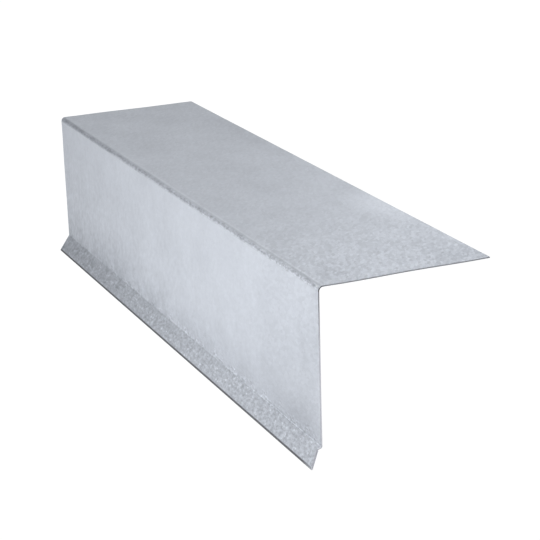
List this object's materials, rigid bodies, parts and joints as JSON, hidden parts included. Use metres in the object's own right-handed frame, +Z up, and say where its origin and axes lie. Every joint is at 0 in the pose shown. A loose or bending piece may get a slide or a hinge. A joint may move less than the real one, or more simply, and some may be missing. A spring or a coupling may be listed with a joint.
{
  "type": "roof edge trim",
  "caption": "Sheet-steel roof edge trim: a flat flange for the roof deck, a square bend, a face that hangs over the edge board, and a kick along its foot with a folded hem.",
  "frame": {"origin": "on the floor it lies on, under the middle of the box around the part", "axes": "+Y along the strip, +X from the hem to the flange's free edge, +Z up, with the apex bend on top"},
  "size_m": [0.111, 0.3266, 0.0513],
  "materials": {
    "galvanised_steel": "hot-dip galvanised sheet steel with a small, dull spangle, as rolled, unpainted"
  },
  "bodies": {
    "root": {"roof_edge_trim": "galvanised_steel"}
  },
  "joints": []
}
